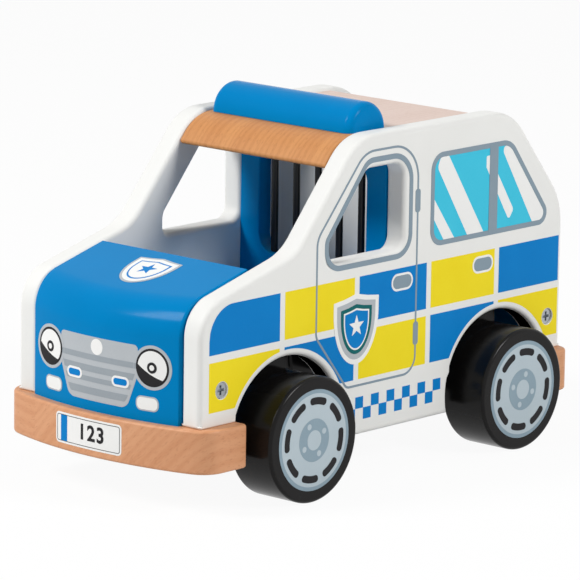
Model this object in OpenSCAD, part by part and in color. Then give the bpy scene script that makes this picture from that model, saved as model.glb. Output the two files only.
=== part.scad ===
// Wooden toy police car with a barred cell, rolling axles and a drop-down tailgate.
// X runs across the car, the front faces -Y, and the wheels stand on Z = 0.

/* [Wheels and axles] */
// Distance between the front and rear axles
wheelbase = 140; // [130:1:150]
// Diameter of each wheel
wheel_d = 55.5; // [52:0.5:59]
// Width of each wheel
wheel_w = 24; // [20:0.5:28]
// Rounding of the edges of each wheel
wheel_edge_r = 1.5; // [1:0.5:5]
// Depth of the blind axle hole in each wheel
wheel_hole = 16; // [10:0.5:18]
// Diameter of the axle rods
axle_d = 5; // [4:0.25:6]
// Diameter of the axle washers
washer_d = 14; // [10:0.5:18]
// Thickness of the axle washers
washer_t = 1.6; // [1:0.1:2.4]
// Side play between each washer and its axle beam
axle_side_play = 0.9; // [0.5:0.1:1.4]
// Gap between each wheel and its arch
arch_gap = 6.6; // [5:0.2:8]
// Length of the axle beams along the car
beam_l = 22; // [18:0.5:26]

/* [Side panels] */
// Width over the two side panels
body_w = 109; // [102:0.5:118]
// Thickness of each side panel
panel_t = 11; // [9:0.5:13]
// Front axle to the front edge of the side panels
panel_front = 55; // [52:0.5:59]
// Rear axle to the rear edge of the side panels
panel_rear = 44.8; // [42:0.2:47]
// Height of the sill's lower edge
sill_z = 19.6; // [17:0.2:21]
// Height of the panel feet, on top of the bumpers
foot_z = 38.5; // [36:0.5:41]
// Height of the nose corner, before its rounding
nose_z = 89.9; // [86:0.5:95]
// Height of the cowl corner, between bonnet and windscreen
cowl_z = 106; // [102:0.5:110]
// Height of the roof line
roof_z = 152.3; // [147:0.5:158]
// Height of the tail corner, before its rounding
shoulder_z = 106.6; // [103:0.5:112]
// Length from the front edge to the cowl corner
cowl_run = 59.4; // [56:0.5:63]
// Length of the windscreen slope along the car
screen_run = 38.9; // [36:0.5:43]
// Length of the flat roof line
roof_run = 104.6; // [99:0.5:109]
// Rounding of the nose corner
nose_r = 17.3; // [12:0.5:20]
// Rounding of the cowl corner
cowl_r = 25.4; // [18:0.5:30]
// Rounding of the corner over the windscreen
screen_top_r = 23.3; // [16:0.5:28]
// Rounding of the corner behind the roof
roof_end_r = 27.5; // [18:0.5:32]
// Rounding of the tail corner
shoulder_r = 28.9; // [18:0.5:34]

/* [Side windows] */
// Cowl corner to the front edge of the window
window_set_back = 20.4; // [18:0.5:23]
// Length of the window at its sill
window_l = 49.5; // [46:0.5:53]
// Height of the window sill
window_z = 98.3; // [95:0.5:102]
// Width of the windscreen pillar and of the strip over the window
pillar_w = 14.8; // [13:0.2:17]
// Rounding of the window corners
window_r = 6; // [3:0.5:7]

/* [Bonnet and bumpers] */
// Length of the bonnet block behind the panels' front edge
bonnet_run = 40.8; // [37:0.5:44]
// Radius of the bow of the nose, seen from above
nose_bow_r = 170; // [150:5:200]
// How far the nose stands out at its side edges
nose_proud = 1.2; // [0.6:0.2:2.4]
// Front axle to the front of the front bumper
front_overhang = 66; // [63:0.5:70]
// Rear axle to the back of the rear bumper
rear_overhang = 54.5; // [52:0.5:58]
// Width of the bumpers
bumper_w = 121; // [116:0.5:128]
// How far the bumpers reach under the car past the panel feet
bumper_lap = 1.2; // [0.4:0.2:2]
// Height of the bumpers' lower edge
bumper_z = 19.3; // [17:0.2:21]
// Radius of the bow of the bumpers, seen from above
bumper_bow_r = 180; // [160:5:220]
// Rounding of the front bumper's corners, and of the rear bumper's
front_corner_r = 12; // [6:0.5:13]
rear_corner_r = 6; // [3:0.5:8]

/* [Roof] */
// How far the roof lies below the panels' top edge
roof_recess = 1.3; // [0.6:0.1:2.4]
// How far the windscreen header lies inside the panels' edge
header_inset = 1; // [0.4:0.1:1.6]
// Height of the windscreen header's lower face
header_z = 138; // [135:0.5:140]
// Length from the screen's top corner to the roof's back edge
roof_l = 91.5; // [86:0.5:96]
// Thickness of the roof panel
roof_t = 9; // [8:0.5:11]
// Length of the light bar across the car
light_bar_l = 83; // [76:1:86]
// Radius of the half-round light bar
light_bar_r = 12.75; // [11:0.25:14]
// Rounding of the ends of the light bar
light_bar_end_r = 2; // [1:0.25:3]
// Screen's top corner to the middle of the light bar
light_bar_set_back = 20.8; // [19:0.2:23]
// How far the header runs on behind the middle of the light bar
header_behind_bar = 8; // [6:0.5:10]

/* [Cell] */
// Thickness of the cell partition
partition_t = 8; // [7:0.5:10]
// Depth of the groove in the floor that holds the partition
partition_seat = 2; // [1:0.25:3]
// Width of the barred cut-out
cell_cut_w = 64; // [60:0.5:68]
// Height of the cut-out's lower edge
cell_cut_z = 85.5; // [83:0.5:90]
// Height of the rail over the cut-out
cell_rail = 8; // [7:0.5:10]
// Rounding of the cut-out's corners
cell_cut_r = 8.5; // [4:0.5:10]
// Number of bars
bar_count = 5; // [3:1:5]
// Distance from bar to bar
bar_pitch = 13; // [12:0.25:14]
// Diameter of the bars
bar_d = 3.2; // [2.6:0.1:4]
// Depth of the sockets that hold the bars
bar_socket = 5; // [3:0.5:6]

/* [Floor and tail] */
// Thickness of the floor panel
floor_t = 8; // [7:0.5:10]
// Length of the rear rail along the car
rail_l = 17; // [15:0.5:19]
// Thickness of the tailgate
tailgate_t = 8; // [7:0.5:9]
// Height of the tailgate over its pivot
tailgate_h = 31.5; // [28:0.5:34]
// How far the tailgate lies inside the panels' rear edge
tailgate_inset = 1.2; // [0.6:0.1:2]
// Gap round the tailgate
tailgate_gap = 0.5; // [0.3:0.1:0.8]
// Diameter of the tailgate pins
pin_d = 4; // [3:0.25:4.5]
// Depth of the pin holes in the side panels
pin_seat = 6; // [4:0.5:7]
// Length of the tailgate pins
pin_l = 16; // [14:0.5:20]
// Diameter of the tailgate knob
knob_d = 12; // [9:0.5:14]
// Length of the knob outside the tailgate
knob_l = 9; // [7:0.5:10]
// Diameter of the knob's spigot
spigot_d = 5; // [4:0.25:6]
// Length of the knob's spigot
spigot_l = 5; // [4:0.25:6]

/* [Fasteners] */
// Diameter of the screw heads
screw_head_d = 7; // [6:0.25:8]
// Height of the screw heads
screw_head_h = 2.4; // [2:0.1:3]
// Diameter of the screw shanks
screw_d = 3.8; // [3:0.1:4.2]
// Length of the screws
screw_l = 28; // [24:0.5:32]
// Depth of the screw heads below the surface
screw_sunk = 0.8; // [0.4:0.1:1.6]
// Front edge of the panels to the nose screw
nose_screw_back = 13.3; // [11:0.2:16]
// Rear edge of the panels to the tail screw
tail_screw_ahead = 9.5; // [7:0.1:10]
// Height of the nose and tail screws
side_screw_z = 53.7; // [51:0.2:56]
// Distance of the bumper screws from the middle of the car
bumper_screw_x = 20; // [14:0.5:23]
// Diameter of the glue dowels
dowel_d = 5; // [4:0.25:6]
// Length of the glue dowels
dowel_l = 14; // [12:0.5:16]
// How far the dowels reach into the thinner piece
dowel_seat = 6; // [5:0.25:7]

/* [Hidden] */
$fn = 64;

// How far every cut runs past the surface it opens
overrun = 1;
// Radial play of the axles and pins that turn
running_play = 0.08;
// Radial play of what is glued, pressed or screwed in
fixed_play = 0.03;
// Room left at the bottom of a blind hole
end_room = 0.3;
// Steps of each rounded corner, and of each bow
corner_steps = 8;
bow_steps = 16;
// Width and depth of the cross recess in a screw head, and its length as a share of the head
recess_w = 1.2;
recess_depth = 1.4;
recess_share = 0.62;
// Inner corners of the bumpers, and the largest outer corner as a share of a bumper's straight end
bumper_inner_r = 2;
bumper_corner_share = 1.3;
// Places along a piece, as shares of its length
dowel_spread_share = 0.58;
roof_dowel_share = 0.22;
knob_height_share = 0.74;
knob_neck_share = 0.62;
knob_head_share = 0.33;
knob_under_share = 0.16;
knob_face_share = 0.25;
bumper_screw_share = 0.42;

// Stations along the car
overall_l = front_overhang + wheelbase + rear_overhang;
front_axle_y = front_overhang - overall_l / 2;
rear_axle_y = front_axle_y + wheelbase;
nose_y = front_axle_y - panel_front;
tail_y = rear_axle_y + panel_rear;
cowl_y = nose_y + cowl_run;
screen_top_y = cowl_y + screen_run;
roof_end_y = screen_top_y + roof_run;
bonnet_rear_y = nose_y + bonnet_run;
light_bar_y = screen_top_y + light_bar_set_back;
header_rear_y = light_bar_y + header_behind_bar;
roof_back_y = screen_top_y + roof_l;
window_front_y = cowl_y + window_set_back;
partition_y = window_front_y + window_l;
pivot_y = tail_y - tailgate_inset - tailgate_t / 2;
floor_rear_y = pivot_y - tailgate_t / 2 - tailgate_gap;

// Stations across the car and heights
inner_x = body_w / 2 - panel_t;
wheel_x = inner_x + axle_side_play + washer_t;
axle_z = wheel_d / 2;
arch_r = wheel_d / 2 + arch_gap;
floor_z = axle_z + arch_r;
floor_top_z = floor_z + floor_t;
roof_top_z = roof_z - roof_recess;
roof_under_z = roof_top_z - roof_t;
pivot_z = floor_z + tailgate_gap + tailgate_t / 2;
cell_cut_top_z = roof_under_z - cell_rail;
arch_foot = sqrt(pow(arch_r, 2) - pow(foot_z - axle_z, 2));

// Rounded outlines: each corner of a closed outline becomes an arc that touches both its sides
function unit(v) = v / norm(v);
function half_angle(a, b, c) = acos(unit(a - b) * unit(c - b)) / 2;
function corner_centre(a, b, c, r) = b + unit(unit(a - b) + unit(c - b)) * r / sin(half_angle(a, b, c));
function direction(v) = atan2(v.y, v.x);
function turn(from, to) = (to - from + 540) % 360 - 180;
function corner_arc(a, b, c, r) =
    let(
        centre = corner_centre(a, b, c, r),
        reach = r / tan(half_angle(a, b, c)),
        from = direction(b + unit(a - b) * reach - centre),
        sweep = turn(from, direction(b + unit(c - b) * reach - centre))
    )
    [for (i = [0:corner_steps]) let(t = from + sweep * i / corner_steps) centre + r * [cos(t), sin(t)]];
function rounded(points, radii) =
    let(n = len(points))
    [for (i = [0:n - 1]) each radii[i] > 0
        ? corner_arc(points[(i + n - 1) % n], points[i], points[(i + 1) % n], radii[i])
        : [points[i]]];

// Lines of the body, as [y, z]
nose_corner = [nose_y, nose_z];
cowl_corner = [cowl_y, cowl_z];
screen_corner = [screen_top_y, roof_z];
function bonnet_line_z(y) = nose_z + (y - nose_y) * (cowl_z - nose_z) / cowl_run;
function screen_line_z(y, inset) =
    cowl_z + (y - cowl_y) * (roof_z - cowl_z) / screen_run
    - inset * norm(screen_corner - cowl_corner) / screen_run;
function screen_line_y(z, inset) =
    cowl_y + (z - cowl_z) * screen_run / (roof_z - cowl_z)
    + inset * norm(screen_corner - cowl_corner) / (roof_z - cowl_z);

panel_points = [[nose_y, foot_z], nose_corner, cowl_corner, screen_corner, [roof_end_y, roof_z],
    [tail_y, shoulder_z], [tail_y, foot_z], [rear_axle_y, foot_z], [rear_axle_y, sill_z],
    [front_axle_y, sill_z], [front_axle_y, foot_z]];
panel_radii = [0, nose_r, cowl_r, screen_top_r, roof_end_r, shoulder_r, 0, 0, 0, 0, 0];

window_top_z = roof_z - pillar_w;
window_points = [[window_front_y, window_z], [window_front_y, screen_line_z(window_front_y, pillar_w)],
    [screen_line_y(window_top_z, pillar_w), window_top_z], [partition_y, window_top_z],
    [partition_y, window_z]];
window_radii = [window_r / 2, window_r, window_r, window_r, window_r];

header_points = [[screen_line_y(header_z, header_inset), header_z],
    [screen_line_y(roof_top_z, header_inset), roof_top_z], [header_rear_y, roof_top_z],
    [header_rear_y, header_z]];
header_radii = [0, screen_top_r - header_inset, 0, 0];

// The bow of the nose and of the bumpers: how far an arc of radius r falls back at x from its middle
function bow_sag(x, r) = r - sqrt(pow(r, 2) - pow(x, 2));
nose_front_y = nose_y - nose_proud - bow_sag(inner_x, nose_bow_r);
nose_arc_z = corner_centre(panel_points[0], nose_corner, cowl_corner, nose_r).y;
nose_arc_end = 90 - atan((cowl_z - nose_z) / cowl_run);

// An outline in [y, z], as a board of thickness t whose inner face is at x
module board(x, t, outline) {
    translate([x, 0, 0])
        rotate([90, 0, 90])
            linear_extrude(height = t)
                polygon(outline);
}

// A block between two corners
module block(low, high) {
    translate(low)
        cube(high - low);
}

// Both sides of the car
module both_sides() {
    for (side = [0, 1])
        mirror([side, 0, 0])
            children();
}

// A cross-head screw, head down, with its head's face at the origin
module screw() {
    difference() {
        union() {
            cylinder(h = screw_head_h, d = screw_head_d);
            cylinder(h = screw_l, d = screw_d);
        }
        for (turned = [0, 90])
            rotate([0, 0, turned])
                translate([-screw_head_d * recess_share / 2, -recess_w / 2, -overrun])
                    cube([screw_head_d * recess_share, recess_w, recess_depth + overrun]);
    }
}

// The hole for a screw, from the surface at the origin
module screw_hole() {
    translate([0, 0, -overrun])
        cylinder(h = overrun + screw_sunk + screw_head_h, d = screw_head_d + 2 * end_room);
    cylinder(h = screw_sunk + screw_l + end_room, d = screw_d + 2 * fixed_play);
}

// Places of the screws, with +Z pointing into the wood from its surface
module at_side_screws() {
    both_sides()
        for (y = [nose_y + nose_screw_back, tail_y - tail_screw_ahead])
            translate([body_w / 2, y, side_screw_z])
                rotate([0, -90, 0])
                    children();
}

front_bumper_l = front_overhang - arch_foot + bumper_lap;
rear_bumper_l = rear_overhang - arch_foot + bumper_lap;
front_bumper_y = front_axle_y - arch_foot + bumper_lap;
rear_bumper_y = rear_axle_y + arch_foot - bumper_lap;

bumper_screw_places = [front_bumper_y - front_bumper_l * bumper_screw_share,
    tail_y - rail_l * bumper_screw_share];

module at_bumper_screws() {
    both_sides()
        for (y = bumper_screw_places)
            translate([bumper_screw_x, y, bumper_z])
                children();
}

// A dowel across the joint at the origin, with its seat in the piece at +Z, and the hole for it
module dowel() {
    translate([0, 0, dowel_seat - dowel_l])
        cylinder(h = dowel_l, d = dowel_d);
}

module dowel_hole() {
    translate([0, 0, dowel_seat - dowel_l - end_room])
        cylinder(h = dowel_l + 2 * end_room, d = dowel_d + 2 * fixed_play);
}

module at_light_bar_dowels() {
    both_sides()
        translate([light_bar_l / 2 * dowel_spread_share, light_bar_y, roof_top_z])
            mirror([0, 0, 1])
                children();
}

roof_panel_l = roof_back_y - header_rear_y;
roof_dowel_places = [[light_bar_y, (header_z + roof_top_z) / 2],
    [header_rear_y + roof_panel_l * roof_dowel_share, roof_top_z - roof_t / 2],
    [roof_back_y - roof_panel_l * roof_dowel_share, roof_top_z - roof_t / 2]];

module at_roof_dowels() {
    both_sides()
        for (place = roof_dowel_places)
            translate([inner_x, place.x, place.y])
                rotate([0, 90, 0])
                    children();
}

module at_beam_dowels() {
    both_sides()
        for (y = [front_axle_y, rear_axle_y])
            translate([inner_x * dowel_spread_share, y, floor_z])
                children();
}

// Places of the tailgate pins, at the panels' inner faces with +Z pointing into the panel
module at_tailgate_pins() {
    both_sides()
        translate([inner_x, pivot_y, pivot_z])
            rotate([0, 90, 0])
                children();
}

// Side panels
module side_panel() {
    difference() {
        board(inner_x, panel_t, rounded(panel_points, panel_radii));
        for (y = [front_axle_y, rear_axle_y])
            translate([inner_x - overrun, y, axle_z])
                rotate([0, 90, 0])
                    cylinder(h = panel_t + 2 * overrun, r = arch_r);
        board(inner_x - overrun, panel_t + 2 * overrun, rounded(window_points, window_radii));
        at_side_screws()
            screw_hole();
        at_roof_dowels()
            dowel_hole();
        at_tailgate_pins()
            translate([0, 0, -overrun])
                cylinder(h = overrun + pin_seat + end_room, d = pin_d + 2 * running_play);
    }
}

module left_side_panel() {
    color("#e6e6e2")
        side_panel();
}

module right_side_panel() {
    color("#e6e6e2")
        mirror([1, 0, 0])
            side_panel();
}

// Bonnet block: the panels' bonnet line across the car, cut by the bowed and rounded nose
module bonnet_block() {
    color("#1b7fc6")
        difference() {
            intersection() {
                board(-inner_x, 2 * inner_x, [[nose_front_y, foot_z],
                    [nose_front_y, bonnet_line_z(nose_front_y)],
                    [bonnet_rear_y, bonnet_line_z(bonnet_rear_y)], [bonnet_rear_y, foot_z]]);
                translate([0, nose_front_y + nose_bow_r, 0])
                    rotate_extrude($fn = 180)
                        polygon(concat([[0, foot_z - overrun], [nose_bow_r, foot_z - overrun]],
                            [for (i = [0:corner_steps]) let(t = nose_arc_end * i / corner_steps)
                                [nose_bow_r - nose_r * (1 - cos(t)), nose_arc_z + nose_r * sin(t)]],
                            [[nose_bow_r - nose_r * (1 - cos(nose_arc_end)), cowl_z], [0, cowl_z]]));
            }
            at_side_screws()
                screw_hole();
            at_bumper_screws()
                screw_hole();
        }
}

// Bumpers: bowed bars under the feet of the panels
module bumper(l, r) {
    half = bumper_w / 2;
    end_l = l - bow_sag(half, bumper_bow_r) - bumper_inner_r;
    corner_r = min(r, end_l * bumper_corner_share);
    run = bumper_w - 2 * corner_r;
    bow_x = concat([half], [for (i = [0:bow_steps]) half - corner_r - run * i / bow_steps], [-half]);
    bow = [for (x = bow_x) [x, l - bow_sag(x, bumper_bow_r)]];
    radii = concat([corner_r], [for (i = [0:bow_steps]) 0], [corner_r]);
    translate([0, 0, bumper_z])
        linear_extrude(height = foot_z - bumper_z)
            polygon(rounded(concat([[half, 0]], bow, [[-half, 0]]),
                concat([bumper_inner_r], radii, [bumper_inner_r])));
}

module front_bumper() {
    color("#dba070")
        difference() {
            translate([0, front_bumper_y, 0])
                mirror([0, 1, 0])
                    bumper(front_bumper_l, front_corner_r);
            at_bumper_screws()
                screw_hole();
        }
}

module rear_bumper() {
    color("#dba070")
        difference() {
            translate([0, rear_bumper_y, 0])
                bumper(rear_bumper_l, rear_corner_r);
            at_bumper_screws()
                screw_hole();
        }
}

// Roof: the header over the windscreen, the panel behind it and the light bar over their joint
module windscreen_header() {
    color("#dba070")
        difference() {
            board(-inner_x, 2 * inner_x, rounded(header_points, header_radii));
            at_roof_dowels()
                dowel_hole();
            at_light_bar_dowels()
                dowel_hole();
        }
}

module roof_panel() {
    color("#e8d0c5")
        difference() {
            block([-inner_x, header_rear_y, roof_under_z], [inner_x, roof_back_y, roof_top_z]);
            at_roof_dowels()
                dowel_hole();
        }
}

module light_bar() {
    color("#1b7fc6")
        difference() {
            intersection() {
                translate([-light_bar_l / 2, light_bar_y, roof_top_z])
                    rotate([0, 90, 0])
                        rotate_extrude()
                            polygon(rounded([[0, 0], [light_bar_r, 0], [light_bar_r, light_bar_l],
                                [0, light_bar_l]], [0, light_bar_end_r, light_bar_end_r, 0]));
                block([-light_bar_l, light_bar_y - light_bar_l, roof_top_z],
                    [light_bar_l, light_bar_y + light_bar_l, roof_top_z + light_bar_l]);
            }
            at_light_bar_dowels()
                dowel_hole();
        }
}

// Cell: a board between cab and cell, let into the floor, with bars let into its cut-out
partition_foot_z = floor_top_z - partition_seat;
cell_cut_points = [[-cell_cut_w / 2, cell_cut_z], [cell_cut_w / 2, cell_cut_z],
    [cell_cut_w / 2, cell_cut_top_z], [-cell_cut_w / 2, cell_cut_top_z]];

cell_bar_l = cell_cut_top_z - cell_cut_z + 2 * bar_socket;

module at_bars(room) {
    for (i = [0:bar_count - 1])
        translate([(i - (bar_count - 1) / 2) * bar_pitch, partition_y + partition_t / 2,
            cell_cut_z - bar_socket - room])
            children();
}

module cell_partition() {
    color("#1b7fc6")
        difference() {
            block([-inner_x, partition_y, partition_foot_z],
                [inner_x, partition_y + partition_t, roof_under_z]);
            translate([0, partition_y + partition_t + overrun, 0])
                rotate([90, 0, 0])
                    linear_extrude(height = partition_t + 2 * overrun)
                        polygon(rounded(cell_cut_points, [for (p = cell_cut_points) cell_cut_r]));
            at_bars(end_room)
                cylinder(h = cell_bar_l + 2 * end_room, d = bar_d + 2 * fixed_play);
        }
}

module cell_bars() {
    color("#2a2826")
        at_bars(0)
            cylinder(h = cell_bar_l, d = bar_d);
}

// Chassis: floor, axle beams and rear rail between the panels
module floor_panel() {
    color("#e2bd92")
        difference() {
            block([-inner_x, bonnet_rear_y, floor_z], [inner_x, floor_rear_y, floor_top_z]);
            block([-inner_x - overrun, partition_y - fixed_play, partition_foot_z],
                [inner_x + overrun, partition_y + partition_t + fixed_play, floor_top_z + overrun]);
            at_beam_dowels()
                dowel_hole();
        }
}

module axle_beam(y) {
    difference() {
        block([-inner_x, y - beam_l / 2, sill_z], [inner_x, y + beam_l / 2, floor_z]);
        translate([-inner_x - overrun, y, axle_z])
            rotate([0, 90, 0])
                cylinder(h = 2 * (inner_x + overrun), d = axle_d + 2 * running_play);
        at_beam_dowels()
            dowel_hole();
    }
}

module front_axle_beam() {
    color("#dba070")
        axle_beam(front_axle_y);
}

module rear_axle_beam() {
    color("#dba070")
        axle_beam(rear_axle_y);
}

module rear_rail() {
    color("#dba070")
        difference() {
            block([-inner_x, tail_y - rail_l, foot_z], [inner_x, tail_y, floor_z]);
            at_side_screws()
                screw_hole();
            at_bumper_screws()
                screw_hole();
        }
}

// Axles, wheels and washers
module axle(y) {
    reach = wheel_x + wheel_hole - end_room;
    translate([-reach, y, axle_z])
        rotate([0, 90, 0])
            cylinder(h = 2 * reach, d = axle_d);
}

module front_axle() {
    color("#b8bcc0")
        axle(front_axle_y);
}

module rear_axle() {
    color("#b8bcc0")
        axle(rear_axle_y);
}

// A wheel on the left side, with a blind hole for the axle in its inner face
module wheel(y) {
    color("#2a2826")
        translate([wheel_x, y, axle_z])
            rotate([0, 90, 0])
                difference() {
                    rotate_extrude($fn = 96)
                        polygon(rounded([[0, 0], [wheel_d / 2, 0], [wheel_d / 2, wheel_w], [0, wheel_w]],
                            [0, wheel_edge_r, wheel_edge_r, 0]));
                    translate([0, 0, -overrun])
                        cylinder(h = overrun + wheel_hole, d = axle_d + 2 * fixed_play);
                }
}

module front_left_wheel() {
    wheel(front_axle_y);
}

module front_right_wheel() {
    mirror([1, 0, 0])
        wheel(front_axle_y);
}

module rear_left_wheel() {
    wheel(rear_axle_y);
}

module rear_right_wheel() {
    mirror([1, 0, 0])
        wheel(rear_axle_y);
}

module washers(y) {
    color("#e8e8e0")
        both_sides()
            translate([wheel_x - washer_t, y, axle_z])
                rotate([0, 90, 0])
                    difference() {
                        cylinder(h = washer_t, d = washer_d);
                        translate([0, 0, -overrun])
                            cylinder(h = washer_t + 2 * overrun, d = axle_d + 2 * fixed_play);
                    }
}

module front_washers() {
    washers(front_axle_y);
}

module rear_washers() {
    washers(rear_axle_y);
}

// Tailgate: a flap that turns on two pins in the side panels, with its lower edge round about them
knob_z = pivot_z + tailgate_h * knob_height_share;
tailgate_face_y = pivot_y + tailgate_t / 2;
tailgate_x = inner_x - tailgate_gap;

module tailgate() {
    color("#1b7fc6")
        difference() {
            union() {
                block([-tailgate_x, pivot_y - tailgate_t / 2, pivot_z],
                    [tailgate_x, tailgate_face_y, pivot_z + tailgate_h]);
                translate([-tailgate_x, pivot_y, pivot_z])
                    rotate([0, 90, 0])
                        cylinder(h = 2 * tailgate_x, d = tailgate_t);
            }
            at_tailgate_pins()
                translate([0, 0, pin_seat - pin_l - end_room])
                    cylinder(h = pin_l, d = pin_d + 2 * fixed_play);
            translate([0, tailgate_face_y + overrun, knob_z])
                rotate([90, 0, 0])
                    cylinder(h = overrun + spigot_l + end_room, d = spigot_d + 2 * fixed_play);
        }
}

module tailgate_pins() {
    color("#b8bcc0")
        at_tailgate_pins()
            translate([0, 0, pin_seat - pin_l])
                cylinder(h = pin_l, d = pin_d);
}

module tailgate_knob() {
    neck_r = knob_d * knob_neck_share / 2;
    neck_l = knob_l * knob_head_share;
    color("#dba070")
        translate([0, tailgate_face_y, knob_z])
            rotate([-90, 0, 0])
                rotate_extrude()
                    polygon(rounded([[0, -spigot_l], [spigot_d / 2, -spigot_l], [spigot_d / 2, 0],
                        [neck_r, 0], [neck_r, neck_l], [knob_d / 2, neck_l], [knob_d / 2, knob_l],
                        [0, knob_l]],
                        [0, 0, 0, 0, 0, knob_l * knob_under_share, knob_l * knob_face_share, 0]));
}

// Screws and dowels
module side_screws() {
    color("#b8bcc0")
        at_side_screws()
            translate([0, 0, screw_sunk])
                screw();
}

module bumper_screws() {
    color("#b8bcc0")
        at_bumper_screws()
            translate([0, 0, screw_sunk])
                screw();
}

module light_bar_dowels() {
    color("#e2bd92")
        at_light_bar_dowels()
            dowel();
}

module roof_dowels() {
    color("#e2bd92")
        at_roof_dowels()
            dowel();
}

module beam_dowels() {
    color("#e2bd92")
        at_beam_dowels()
            dowel();
}

left_side_panel();
right_side_panel();
bonnet_block();
front_bumper();
rear_bumper();
windscreen_header();
roof_panel();
light_bar();
cell_partition();
cell_bars();
floor_panel();
front_axle_beam();
rear_axle_beam();
front_axle();
rear_axle();
front_left_wheel();
front_right_wheel();
rear_left_wheel();
rear_right_wheel();
front_washers();
rear_washers();
rear_rail();
tailgate();
tailgate_pins();
tailgate_knob();
side_screws();
bumper_screws();
light_bar_dowels();
roof_dowels();
beam_dowels();
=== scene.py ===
"""Wooden toy police car: rounded boards, paint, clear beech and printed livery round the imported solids.

Lengths are millimetres until a mesh is made. X runs across the car, the front faces -Y, and the wheels
stand on Z = 0.
"""
import math

import bmesh
import bpy
import numpy as np
from mathutils import Matrix, Vector
from mathutils.geometry import tessellate_polygon


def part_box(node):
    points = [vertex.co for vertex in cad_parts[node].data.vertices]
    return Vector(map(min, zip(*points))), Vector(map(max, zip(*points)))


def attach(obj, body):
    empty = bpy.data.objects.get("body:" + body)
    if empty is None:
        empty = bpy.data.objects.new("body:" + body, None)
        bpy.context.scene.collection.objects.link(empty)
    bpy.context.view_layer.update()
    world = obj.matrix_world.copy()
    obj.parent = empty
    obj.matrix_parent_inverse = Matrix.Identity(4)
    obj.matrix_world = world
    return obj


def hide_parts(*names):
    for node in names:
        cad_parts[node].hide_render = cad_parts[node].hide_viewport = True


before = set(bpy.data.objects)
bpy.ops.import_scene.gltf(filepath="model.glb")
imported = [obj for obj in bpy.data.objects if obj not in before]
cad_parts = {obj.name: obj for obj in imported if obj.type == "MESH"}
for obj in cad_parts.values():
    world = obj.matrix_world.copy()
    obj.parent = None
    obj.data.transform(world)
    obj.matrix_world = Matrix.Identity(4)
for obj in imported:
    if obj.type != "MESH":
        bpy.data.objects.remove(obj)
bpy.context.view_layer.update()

MM = 0.001
ENDS = ("front", "rear")
SIDES = (("left", 1), ("right", -1))


def corners(node):
    """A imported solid's lowest and highest corners, in millimetres."""
    low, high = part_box(node)
    return np.array(low) / MM, np.array(high) / MM


# Stations taken from the frame
(inner_x, nose_y, sill_z), (outer_x, tail_y, roof_z) = corners("left_side_panel")
(_, nose_front_y, foot_z), (_, bonnet_rear_y, bonnet_rear_z) = corners("bonnet_block")
(wheel_in_x, _, _), (wheel_out_x, _, wheel_top_z) = corners("front_left_wheel")
wheel_r = wheel_top_z / 2
axle_y = {end: float(np.mean([c[1] for c in corners(end + "_left_wheel")])) for end in ENDS}
mid_y = (axle_y["front"] + axle_y["rear"]) / 2

# Lines of the side panels, as in the part's source
ARCH_CLEAR = 6.6
ARCH_R = wheel_r + ARCH_CLEAR
NOSE_Z, NOSE_R = 89.9, 17.3
COWL_Y, COWL_Z, COWL_R = nose_y + 59.4, 106.0, 25.4
SCREEN_Y, SCREEN_R = COWL_Y + 38.9, 23.3
ROOF_END_Y, ROOF_END_R = SCREEN_Y + 104.6, 27.5
SHOULDER_Z, SHOULDER_R = 106.6, 28.9
BONNET_RISE = (COWL_Z - NOSE_Z) / (COWL_Y - nose_y)
NOSE_BOW_R = 170.0
BUMPER_BOW_R = 180.0

# How round the worked edges are
PANEL_EDGE = 2.4
ARCH_EDGE = 2.0
FOOT_EDGE = 0.7
BUMPER_EDGE = 1.3
BLOCK_EDGE = 0.7
ARC_STEPS = 14
EDGE_STEPS = 6
PIT_STEPS = 32
PIT_LIP, PIT_LIP_FALL = 0.4, 0.1


# Outlines, and shapes as (points, [arrays of faces])

def arc(centre, radius, start, end, steps=40):
    """Points on a circle from one angle to another, in degrees."""
    t = np.radians(np.linspace(start, end, steps))
    return np.array(centre) + radius * np.column_stack([np.cos(t), np.sin(t)])


def rounded(points, radii):
    """A closed outline whose corners are arcs that touch both their sides."""
    points = np.array(points, float)
    runs = []
    for before, corner, after, radius in zip(np.roll(points, 1, 0), points, np.roll(points, -1, 0), radii):
        if radius == 0:
            runs.append(corner[None])
            continue
        u = (before - corner) / np.linalg.norm(before - corner)
        w = (after - corner) / np.linalg.norm(after - corner)
        half = math.acos(np.clip(u @ w, -1, 1)) / 2
        centre = corner + (u + w) / np.linalg.norm(u + w) * radius / math.sin(half)
        start = corner + u * radius / math.tan(half) - centre
        end = corner + w * radius / math.tan(half) - centre
        first = math.atan2(start[1], start[0])
        sweep = (math.atan2(end[1], end[0]) - first + math.pi) % (2 * math.pi) - math.pi
        runs.append(arc(centre, radius, math.degrees(first), math.degrees(first + sweep), ARC_STEPS))
    return np.concatenate(runs)


def dense(outline, step=1.0):
    """A closed outline with points added along its long sides, so that it can follow a bowed surface."""
    run = np.roll(outline, -1, 0) - outline
    counts = np.maximum(1, np.ceil(np.linalg.norm(run, axis=1) / step)).astype(int)
    start = np.repeat(np.arange(len(outline)), counts)
    share = (np.arange(len(start)) - (np.cumsum(counts) - counts)[start]) / counts[start]
    return outline[start] + share[:, None] * run[start]


def drawn_in(outline, by):
    """The outline moved to its left by a distance, with mitred corners: inwards if it runs anticlockwise."""
    ahead = np.roll(outline, -1, 0) - outline
    ahead /= np.linalg.norm(ahead, axis=1)[:, None]
    left = np.column_stack([-ahead[:, 1], ahead[:, 0]])
    behind = np.roll(left, 1, 0)
    mitre = (left + behind) / (1 + (left * behind).sum(1))[:, None]
    return outline + np.asarray(by)[..., None] * mitre


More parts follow.
